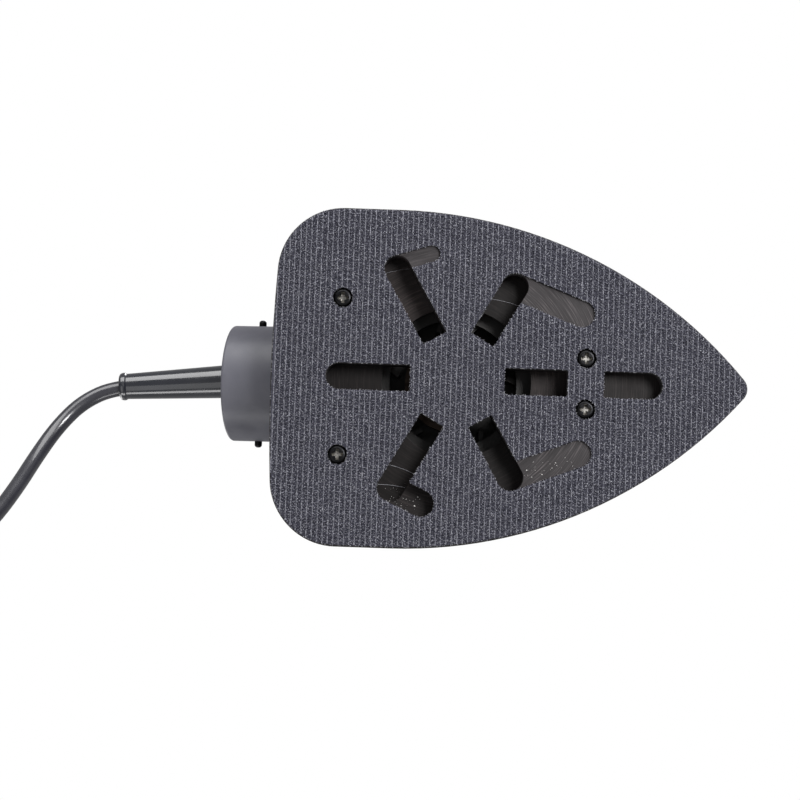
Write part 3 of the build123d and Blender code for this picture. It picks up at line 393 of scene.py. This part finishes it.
MATERIALS = {
    "plate_plastic": plate_material(),
    "collar_plastic": collar_material(),
    "black_screw": sole_screw_material(),
    "shell_plastic": moulded("shell_plastic", (0.098, 0.099, 0.112), (0.112, 0.113, 0.127), 0.5),
    "grip_rubber": dimpled_rubber(),
    "black_gloss": glossy("black_gloss", (0.007, 0.008, 0.012), (0.012, 0.014, 0.021), 0.20, 1.0),
    "cord_vinyl": glossy("cord_vinyl", (0.014, 0.014, 0.019), (0.026, 0.026, 0.033), 0.30, 0.6),
    "switch_plastic": glossy("switch_plastic", (0.42, 0.02, 0.015), (0.52, 0.03, 0.02), 0.25),
    "switch_black": moulded("switch_black", (0.012, 0.012, 0.013), (0.022, 0.022, 0.024), 0.4),
    "steel": metal("steel", (0.42, 0.42, 0.43), (0.62, 0.62, 0.63), 0.26),
    "laminations": banded("laminations", (0.10, 0.10, 0.11), (0.34, 0.34, 0.36), 0.4, 0.9, 0.0005),
    "copper_wire": banded("copper_wire", (0.30, 0.09, 0.03), (0.62, 0.24, 0.09), 0.3, 0.6, 0.0006,
                          direction="Y"),
    "copper": metal("copper", (0.55, 0.25, 0.12), (0.78, 0.40, 0.22), 0.28),
    "brass": metal("brass", (0.55, 0.38, 0.14), (0.74, 0.54, 0.24), 0.28),
    "carbon": moulded("carbon", (0.015, 0.015, 0.015), (0.035, 0.035, 0.035), 0.55),
    "zinc": metal("zinc", (0.060, 0.046, 0.038), (0.115, 0.088, 0.072), 0.55, (1.0, 1.0, 1.0)),
    "fan_plastic": moulded("fan_plastic", (0.02, 0.018, 0.018), (0.04, 0.037, 0.036), 0.45),
    "leg_rubber": rubbery("leg_rubber", (0.03, 0.03, 0.03), (0.06, 0.06, 0.06), 0.5),
    "seal_felt": rubbery("seal_felt", (0.09, 0.09, 0.09), (0.16, 0.16, 0.16), 0.9),
    "capacitor_case": glossy("capacitor_case", (0.62, 0.42, 0.06), (0.76, 0.55, 0.10), 0.3),
}


NODE_MATERIALS = {         # a satin finish where the slot's own gloss is too bright
    "plug_body": moulded("plug_vinyl", (0.012, 0.012, 0.015), (0.019, 0.019, 0.023), 0.46),
}


def dress_nodes():
    """Every CAD node that stays visible takes the detailed material of its record slot."""
    slots = {part["node"]: part["material_slot"] for part in frame["record"]["subparts"]}
    for name, piece in nodes.items():
        material = NODE_MATERIALS.get(name) or MATERIALS.get(slots.get(name))
        if material:
            for slot in piece.material_slots:
                slot.material = material


# ---- power cord ----------------------------------------------------------------------------

CORD_DIAMETER = 0.0050
CORD_ROUTE = [
    (-0.0974, 0.0001, 0.0610),
    (-0.1089, 0.0011, 0.0610),
    (-0.1193, 0.0063, 0.0606),
    (-0.1265, 0.0146, 0.0582),
    (-0.1315, 0.0244, 0.0520),
    (-0.1350, 0.0346, 0.0415),
    (-0.1392, 0.0446, 0.0300),
    (-0.1450, 0.0540, 0.0182),
    (-0.1530, 0.0626, 0.0086),
    (-0.1636, 0.0696, 0.0034),
    (-0.1760, 0.0739, 0.0026),
]
TAIL_ROUTE = [
    (-0.2326, 0.0310, 0.0077),
    (-0.2334, 0.0190, 0.0074),
    (-0.2366, 0.0075, 0.00695),
    (-0.2376, -0.0040, 0.00695),
]
COIL_CENTRE = (-0.1920, 0.0330)
COIL_OUTER_TURN = 0.0405
COIL_INNER_TURN = 0.0203
COIL_PITCH = 0.00505
COIL_POINTS = 16           # spline points in each turn
COIL_CLIMB = 0.5           # turns from the lower layer to the upper one
COIL_LAST = 0.75           # further turns, until the cord faces its tail
COIL_START = 90            # bearing of the coil's first point, in degrees
LOWER_LAYER = 0.0026
UPPER_LAYER = 0.0077


def coil_points():
    """Two layers: a spiral inwards on the floor, a climb, and a spiral outwards on top of it."""
    spiral = (COIL_OUTER_TURN - COIL_INNER_TURN) / COIL_PITCH
    turns = 2 * spiral + COIL_CLIMB + COIL_LAST
    steps = round(turns * COIL_POINTS)
    points = []
    for i in range(1, steps):
        turn = i / COIL_POINTS
        rise = 0.0
        if turn < spiral:
            radius = COIL_OUTER_TURN - COIL_PITCH * turn
        elif turn < spiral + COIL_CLIMB:
            radius = COIL_INNER_TURN
            rise = (turn - spiral) / COIL_CLIMB
        else:
            outward = turn - spiral - COIL_CLIMB
            radius = min(COIL_OUTER_TURN, COIL_INNER_TURN + COIL_PITCH * outward)
            rise = 1.0
        angle = math.radians(COIL_START + 360 * turn)
        x = COIL_CENTRE[0] + radius * math.cos(angle)
        y = COIL_CENTRE[1] + radius * math.sin(angle)
        points.append((x, y, LOWER_LAYER + (UPPER_LAYER - LOWER_LAYER) * rise))
    return points


def make_cord():
    """The mains lead: out of its sleeve, down to the floor, round the coil and to the plug."""
    points = CORD_ROUTE + coil_points() + TAIL_ROUTE
    curve = bpy.data.curves.new("power_lead", "CURVE")
    curve.dimensions = "3D"
    curve.bevel_depth = CORD_DIAMETER / 2
    curve.bevel_resolution = 5
    curve.use_fill_caps = True
    curve.resolution_u = 8
    spline = curve.splines.new("NURBS")
    spline.points.add(len(points) - 1)
    for control, place in zip(spline.points, points):
        control.co = (*place, 1.0)
    spline.order_u = 3
    spline.use_endpoint_u = True
    lead = bpy.data.objects.new("power_lead", curve)
    bpy.context.scene.collection.objects.link(lead)
    curve.materials.append(MATERIALS["cord_vinyl"])
    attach(lead, "housing")
    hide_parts("power_cord", "cord_coil", "cord_tail")
    return lead


power_lead = make_cord()

# ---- sole ----------------------------------------------------------------------------------


def add_mesh(name, vertices, faces, material, slot, body):
    mesh = bpy.data.meshes.new(name)
    mesh.from_pydata(vertices, [], faces)
    mesh.validate()
    mesh.update()
    piece = bpy.data.objects.new(name, mesh)
    bpy.context.scene.collection.objects.link(piece)
    mesh.materials.append(material)
    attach(piece, body)
    return piece


def backing_material():
    """Knitted backing of the hook sheet, dark between its yarns."""
    material, tree, shader = new_material("hook_backing", (0.03, 0.03, 0.042), 0.85, 0.2)
    vary_color(tree, shader, 1100.0, (0.014, 0.014, 0.022), (0.052, 0.052, 0.068))
    bump(tree, shader, noise(tree, 2600.0, 3.0), 0.0002, 0.9)
    return material


def yarn_material():
    """Fine warp yarn, lighter than the sheet it runs on."""
    material, tree, shader = new_material("warp_yarn", (0.16, 0.16, 0.19), 0.6, 0.3)
    factor = noise(tree, 1700.0, 3.0)
    stops = [(0.38, (0.045, 0.045, 0.06)), (0.5, (0.15, 0.15, 0.178)), (0.64, (0.27, 0.27, 0.30))]
    tree.links.new(ramp(tree, factor, stops), shader.inputs["Base Color"])
    bump(tree, shader, noise(tree, 3200.0, 3.0), 0.0002, 0.8)
    vary_roughness(tree, shader, 900.0, 0.5, 0.75)
    return material


def hook_material():
    """Nylon hooks, some dark and some that have gone pale with wear."""
    material, tree, shader = new_material("hook_nylon", (0.12, 0.12, 0.145), 0.42, 0.45)
    factor = noise(tree, 1500.0, 3.0)
    stops = [(0.34, (0.030, 0.030, 0.043)), (0.5, (0.145, 0.145, 0.175)), (0.70, (0.29, 0.29, 0.32))]
    tree.links.new(ramp(tree, factor, stops), shader.inputs["Base Color"])
    vary_roughness(tree, shader, 600.0, 0.34, 0.55)
    return material


def fray_material():
    """Cut ends of yarn along the edges of the openings."""
    material, tree, shader = new_material("frayed_ends", (0.28, 0.28, 0.30), 0.7, 0.2)
    vary_color(tree, shader, 900.0, (0.10, 0.10, 0.12), (0.38, 0.38, 0.40))
    return material


def copied_mesh(node, name, lower_face, material, body):
    """A new piece from a flat CAD sheet, with its lower face moved to another height."""
    source = nodes[node].data.copy()
    piece = bpy.data.objects.new(name, source)
    bpy.context.scene.collection.objects.link(piece)
    low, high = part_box(node)
    for vertex in source.vertices:
        if vertex.co.z < (low[2] + high[2]) / 2:
            vertex.co.z = lower_face
    source.materials.clear()
    source.materials.append(material)
    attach(piece, body)
    return piece


BACKING_BOTTOM = 0.00075


def make_backing():
    """The sheet's knitted ground, raised so that yarns and hooks have room below it."""
    return copied_mesh("hook_face", "hook_backing", BACKING_BOTTOM, backing_material(),
                       "sanding_base")


YARN_PITCH = 0.00157
YARN_HALF_WIDTH = 0.00021
YARN_HEIGHT = 0.00034
YARN_SECTION = [(-1.0, 0.0), (-0.62, 0.72), (0.0, 1.0), (0.62, 0.72), (1.0, 0.0)]
YARN_STEP = 0.0009
YARN_WANDER = 0.06 * MM    # how far a yarn strays to either side
YARN_ROOT = 0.04 * MM      # how deep it lies in the sheet
YARN_END = 0.45            # height of its ends, as a share of its height
SCAN_STEP = 0.00022
SCAN_START = -0.01         # height that the rays start from, below the sole
SAME_HEIGHT = 0.2 * MM
SHORTEST_YARN = 0.001
HOOK_ROWS = (0.24, 0.50, 0.76)     # places of the rows of hooks, across one pitch
HOOK_PITCH = 0.00082
HOOK_RADIUS = 0.00015
HOOK_LEAN = 0.34 * MM
HOOK_HEIGHTS = (0.36 * MM, 0.62 * MM)
HOOK_STRAY = 0.12 * MM     # how far a hook stands from its row
HOOK_ROOT = 0.05 * MM
HOOK_BEND = [              # along a hook: shares of its lean, height and radius
    (0.3, 0.65, 1.0),
    (0.8, 1.0, 0.9),
    (1.3, 0.62, 0.7),
]
FIBRE_SIDES = 3
FRAY_PITCH = 0.00055
FRAY_RADIUS = 0.00006
UPRIGHT_NORMAL = 0.3       # a face is a cut edge when the upright part of its normal is smaller


def inside_intervals(tree, x, low_y, high_y):
    """Stretches of a line across the sheet, at one x, that lie on the sheet."""
    intervals = []
    start = None
    steps = int((high_y - low_y) / SCAN_STEP) + 1
    for i in range(steps + 1):
        y = low_y + i * SCAN_STEP
        place = tree.ray_cast(Vector((x, y, SCAN_START)), Vector((0, 0, 1)))[0]
        inside = place is not None and abs(place.z - BACKING_BOTTOM) < SAME_HEIGHT
        if inside and start is None:
            start = y
        if not inside and start is not None:
            if y - start > SHORTEST_YARN:
                intervals.append((start, y - SCAN_STEP))
            start = None
    return intervals


def add_tube(shape, rings):
    """Adds a closed tube through rings of points to a (vertices, faces) pair."""
    vertices, faces = shape
    size = len(rings[0])
    first = len(vertices)
    for points in rings:
        vertices.extend(points)
    for i in range(len(rings) - 1):
        for j in range(size):
            a = first + i * size + j
            b = first + i * size + (j + 1) % size
            faces.append((a, b, b + size, a + size))
    last = first + (len(rings) - 1) * size
    faces.append(tuple(first + j for j in reversed(range(size))))
    faces.append(tuple(last + j for j in range(size)))


def add_yarn(shape, x, low, high, dice):
    """One low half-round yarn from low to high, slightly wavy."""
    steps = max(2, int((high - low) / YARN_STEP))
    rings = []
    for i in range(steps + 1):
        y = low + (high - low) * i / steps
        middle = x + dice.uniform(-YARN_WANDER, YARN_WANDER)
        swell = dice.uniform(0.75, 1.1)
        half_width = YARN_HALF_WIDTH * swell
        drop = YARN_HEIGHT * swell * (YARN_END if i in (0, steps) else 1.0)
        rings.append([(middle + across * half_width, y, BACKING_BOTTOM + YARN_ROOT - drop * down)
                      for across, down in YARN_SECTION])
    add_tube(shape, rings)


def add_fibre(shape, path, radii):
    """A thin closed fibre through a few points."""
    rings = []
    for (x, y, z), radius in zip(path, radii):
        ring = []
        for j in range(FIBRE_SIDES):
            angle = 2 * math.pi * j / FIBRE_SIDES + 0.5
            tilt = 0.4 * radius * (j - 1)
            ring.append((x + radius * math.cos(angle), y + radius * math.sin(angle), z + tilt))
        rings.append(ring)
    add_tube(shape, rings)


def add_hook(shape, x, y, dice):
    """One bent nylon hook: it stands down from the sheet and curls over."""
    lean_x = dice.uniform(-HOOK_LEAN, HOOK_LEAN)
    lean_y = dice.uniform(-HOOK_LEAN, HOOK_LEAN)
    height = dice.uniform(*HOOK_HEIGHTS)
    size = HOOK_RADIUS * dice.uniform(0.75, 1.2)
    path = [(x, y, BACKING_BOTTOM + HOOK_ROOT)]
    radii = [1.1 * size]
    for lean, drop, thickness in HOOK_BEND:
        path.append((x + lean * lean_x, y + lean * lean_y, BACKING_BOTTOM - drop * height))
        radii.append(thickness * size)
    add_fibre(shape, path, radii)


def make_yarns_and_hooks(backing):
    """Yarns across the sole and, between each two, rows of hooks."""
    dice = random.Random(11)
    points = [vertex.co[:] for vertex in backing.data.vertices]
    tree = BVHTree.FromPolygons(points, [polygon.vertices[:] for polygon in backing.data.polygons])
    low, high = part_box("hook_face")
    yarns = ([], [])
    hooks = ([], [])
    count = int((high[0] - low[0]) / YARN_PITCH)
    for i in range(count):
        x = low[0] + (i + 0.5) * YARN_PITCH
        for start, end in inside_intervals(tree, x, low[1], high[1]):
            add_yarn(yarns, x, start, end, dice)
        for row in HOOK_ROWS:
            row_x = x + row * YARN_PITCH
            for start, end in inside_intervals(tree, row_x, low[1], high[1]):
                for k in range(int((end - start) / HOOK_PITCH)):
                    y = start + (k + dice.uniform(0.2, 0.8)) * HOOK_PITCH
                    add_hook(hooks, row_x + dice.uniform(-HOOK_STRAY, HOOK_STRAY), y, dice)
    return (add_mesh("warp_yarns", *yarns, yarn_material(), "hook_fabric", "sanding_base"),
            add_mesh("hooks", *hooks, hook_material(), "hook_fabric", "sanding_base"))


def make_fray(backing):
    """Short yarn ends that stand out of every cut edge of the sheet."""
    dice = random.Random(5)
    mesh = backing.data
    ends = ([], [])
    for polygon in mesh.polygons:
        if abs(polygon.normal.z) > UPRIGHT_NORMAL:
            continue
        corners = [mesh.vertices[i].co for i in polygon.vertices]
        low_corners = [corner for corner in corners if corner.z < BACKING_BOTTOM + 0.1 * MM]
        if len(low_corners) < 2:
            continue
        start, end = low_corners[:2]
        expected = (end - start).length / FRAY_PITCH
        for k in range(int(expected + dice.random())):
            root = start.lerp(end, dice.random())
            reach = dice.uniform(0.08, 0.32) * MM
            side = dice.uniform(-0.2, 0.2) * MM
            out_x = polygon.normal.x * reach - polygon.normal.y * side
            out_y = polygon.normal.y * reach + polygon.normal.x * side
            path = [
                (root.x - 0.5 * out_x, root.y - 0.5 * out_y, root.z + 0.1 * MM),
                (root.x + 0.5 * out_x, root.y + 0.5 * out_y, root.z - dice.uniform(0.0, 0.15) * MM),
                (root.x + out_x, root.y + out_y, root.z + dice.uniform(-0.1, 0.2) * MM),
            ]
            size = FRAY_RADIUS * dice.uniform(0.7, 1.5)
            add_fibre(ends, path, [size, size, 0.6 * size])
    return add_mesh("frayed_edges", *ends, fray_material(), "hook_fabric", "sanding_base")


# painted highlights: pale lines where the edge of a step in each channel floor would catch the light
STEP_HIGHLIGHT_LINES = [            # radius, bearing from the hub and heading of each line, in metres and degrees
    (0.0377, -120, -13),
    (0.0281, -60, 13),
    (0.0307, 120, 18),
    (0.0365, 120, 5),
]
LINE_PARTS = (-1.0, -0.4, 0.3, 1.0)
LINE_HALF_LENGTH = 0.0040
LINE_RADIUS = 0.08 * MM
LINE_BOW = 0.25 * MM       # rise of a line's bowed middle
HUB_X = 0.0008             # the eccentric that the plate turns about stands this far forward
CHANNEL_DEPTH = 0.0034


def make_step_highlight_lines():
    """Fine pale lines across the floors of the dust channels: painted highlights that stand for the lit
    edge of a step in each floor.
    """
    lines = ([], [])
    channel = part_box("foam_pad")[1][2] + CHANNEL_DEPTH - 0.05 * MM
    for radius, bearing, heading in STEP_HIGHLIGHT_LINES:
        x = HUB_X + radius * math.cos(math.radians(bearing))
        y = radius * math.sin(math.radians(bearing))
        turn = math.radians(heading)
        path = []
        for part in LINE_PARTS:
            reach = part * LINE_HALF_LENGTH
            bow = LINE_BOW * (1 - part * part)
            along_x = reach * math.cos(turn) + bow * math.sin(turn)
            along_y = reach * math.sin(turn) - bow
            path.append((x + along_x, y + along_y, channel))
        add_fibre(lines, path, [LINE_RADIUS] * len(path))
    return add_mesh("step_highlight_lines", *lines, fray_material(), "plate_plastic", "sanding_base")


DUST_PATCHES = [           # centre, spread, height of the floor and number of flecks
    ((-0.0135, 0.0365), (0.0050, 0.0022), ARM_FLOOR, 26),
    ((0.0265, 0.0255), (0.0060, 0.0026), RAISED_FLOOR, 22),
    ((0.0325, 0.0225), (0.0030, 0.0020), RAISED_FLOOR, 6),
    ((-0.0165, 0.0330), (0.0030, 0.0030), CHANNEL_FLOOR, 8),
]
FLECK_SIZE = 0.07 * MM


def dust_material():
    """Pale wood dust, each fleck a little lighter or darker."""
    material, tree, shader = new_material("sanding_dust", (0.5, 0.5, 0.5), 0.9, 0.1)
    vary_color(tree, shader, 900.0, (0.25, 0.24, 0.23), (0.75, 0.74, 0.72))
    return material


def make_dust():
    """Flecks of sanding dust on the floors of two of the openings."""
    dice = random.Random(23)
    flecks = ([], [])
    for (x, y), (spread_x, spread_y), floor, count in DUST_PATCHES:
        for _ in range(count):
            size = FLECK_SIZE * math.exp(dice.gauss(0.0, 0.45))
            fleck_x = x + dice.uniform(-1, 1) * spread_x
            fleck_y = y + dice.uniform(-1, 1) * spread_y
            reach = dice.uniform(-1, 1) * size
            path = [(fleck_x - size, fleck_y - reach, floor - 0.5 * size),
                    (fleck_x, fleck_y, floor - size),
                    (fleck_x + size, fleck_y + reach, floor - 0.5 * size)]
            add_fibre(flecks, path, [0.5 * size, size, 0.4 * size])
    return add_mesh("sanding_dust", *flecks, dust_material(), "plate_plastic", "sanding_base")


def foam_material():
    """Closed-cell foam, dark, with fine open pores on its cut edges."""
    material, tree, shader = new_material("pad_foam", (0.03, 0.029, 0.03), 0.85, 0.2)
    cells = tree.nodes.new("ShaderNodeTexVoronoi")
    cells.inputs["Scale"].default_value = 2300.0
    tree.links.new(object_coordinates(tree), cells.inputs["Vector"])
    stops = [(0.1, (0.012, 0.012, 0.012)), (0.6, (0.045, 0.043, 0.044))]
    tree.links.new(ramp(tree, cells.outputs["Distance"], stops), shader.inputs["Base Color"])
    bump(tree, shader, cells.outputs["Distance"], 0.0002, 0.8)
    return material


WELD_REACH = 0.01 * MM
PAD_EDGE = 0.5 * MM
SHARP_ANGLE = 50           # edges sharper than this, in degrees, are rounded


def make_foam():
    """The foam pad, cut to the sheet's outline, with a softened lower edge."""
    low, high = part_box("foam_pad")
    foam = copied_mesh("foam_pad", "soft_pad", low[2], foam_material(), "sanding_base")
    weld = foam.modifiers.new("weld", "WELD")
    weld.merge_threshold = WELD_REACH
    soften = foam.modifiers.new("soften", "BEVEL")
    soften.width = PAD_EDGE
    soften.segments = 3
    soften.limit_method = "ANGLE"
    soften.angle_limit = math.radians(SHARP_ANGLE)
    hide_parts("foam_pad")
    return foam


backing = make_backing()
yarns, hooks = make_yarns_and_hooks(backing)
fray = make_fray(backing)
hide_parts("hook_face")
foam = make_foam()
make_step_highlight_lines()
make_dust()
dress_nodes()

# ---- stage ---------------------------------------------------------------------------------

FLOOR_DROP = 0.0008        # the floor lies this far below the sole
FLOOR_HALF = 3.0
FLOOR_COLOR = (0.50, 0.50, 0.51, 1)
FLOOR_GLOW = (0.98, 0.98, 1.0, 1)
FLOOR_GLOW_STRENGTH = 0.50


def floor_material():
    """Pale from above and clear from below, where the camera looks through it."""
    material = bpy.data.materials.new("floor")
    material.use_nodes = True
    tree = material.node_tree
    tree.nodes.clear()
    out = tree.nodes.new("ShaderNodeOutputMaterial")
    mix = tree.nodes.new("ShaderNodeMixShader")
    diffuse = tree.nodes.new("ShaderNodeBsdfDiffuse")
    clear = tree.nodes.new("ShaderNodeBsdfTransparent")
    geometry = tree.nodes.new("ShaderNodeNewGeometry")
    diffuse.inputs["Color"].default_value = FLOOR_COLOR
    glow = tree.nodes.new("ShaderNodeEmission")
    glow.inputs["Color"].default_value = FLOOR_GLOW
    glow.inputs["Strength"].default_value = FLOOR_GLOW_STRENGTH
    pale = tree.nodes.new("ShaderNodeAddShader")
    tree.links.new(diffuse.outputs["BSDF"], pale.inputs[0])
    tree.links.new(glow.outputs["Emission"], pale.inputs[1])
    tree.links.new(geometry.outputs["Backfacing"], mix.inputs["Fac"])
    tree.links.new(pale.outputs["Shader"], mix.inputs[1])
    tree.links.new(clear.outputs["BSDF"], mix.inputs[2])
    tree.links.new(mix.outputs["Shader"], out.inputs["Surface"])
    return material


def make_floor():
    """One sheet that takes no part in the light, apart from what the camera sees of it."""
    mesh = bpy.data.meshes.new("floor")
    signs = [(-1, -1), (1, -1), (1, 1), (-1, 1)]
    corners = [(x * FLOOR_HALF, y * FLOOR_HALF, -FLOOR_DROP) for x, y in signs]
    mesh.from_pydata(corners, [], [(0, 1, 2, 3)])
    mesh.materials.append(floor_material())
    floor = bpy.data.objects.new("floor", mesh)
    bpy.context.scene.collection.objects.link(floor)
    floor.visible_shadow = False
    floor.visible_diffuse = False
    floor.visible_glossy = False


def area_light(name, place, target, size, power):
    """A rectangular soft light: size is (across, along X)."""
    data = bpy.data.lights.new(name, "AREA")
    data.shape = "RECTANGLE"
    data.size, data.size_y = size
    data.energy = power
    light = bpy.data.objects.new(name, data)
    bpy.context.scene.collection.objects.link(light)
    aim = (Vector(target) - Vector(place)).normalized()
    along = Vector((1, 0, 0)) - aim.x * aim
    along.normalize()
    across = along.cross(-aim)
    turn = Matrix((across, along, -aim)).transposed()
    light.matrix_world = Matrix.Translation(place) @ turn.to_4x4()
    light.visible_camera = False


SOLE = (0.0, 0.0, 0.0)     # what the lights are aimed at
BODY = (0.0, 0.0, 0.04)
SLEEVE = (-0.09, 0.0, 0.06)
LIGHTS = [                 # name, place, target, size in metres and power in watts
    ("key_below", (0.50, -0.28, -0.95), SOLE, (0.40, 0.40), 12.4),
    ("fill_below", (-0.6, 0.5, -0.9), SOLE, (0.9, 0.9), 2.1),
    ("sleeve_softbox", (-0.17, -0.60, -0.28), SLEEVE, (0.50, 0.80), 6.0),
    ("sleeve_rim", (-0.17, 0.66, -0.15), SLEEVE, (0.20, 0.80), 2.2),
    ("key_above", (0.5, -0.9, 1.2), BODY, (0.8, 0.8), 13.0),
    ("fill_above", (-0.9, 0.8, 0.9), BODY, (1.0, 1.0), 7.0),
]
AMBIENT = 0.32             # how strongly the white surroundings light the object


def make_lights():
    """Area lights, and a world that is white to the camera but dimmer as a light."""
    for light in LIGHTS:
        area_light(*light)
    world = bpy.data.worlds.new("studio")
    bpy.context.scene.world = world
    world.use_nodes = True
    tree = world.node_tree
    background = tree.nodes["Background"]
    background.inputs["Color"].default_value = (1.0, 1.0, 1.0, 1)
    ray = tree.nodes.new("ShaderNodeLightPath")
    level = remap(tree, ray.outputs["Is Camera Ray"], AMBIENT, 1.0, 0.0, 1.0)
    tree.links.new(level, background.inputs["Strength"])
    bpy.context.scene.view_settings.view_transform = "Standard"


make_floor()
make_lights()
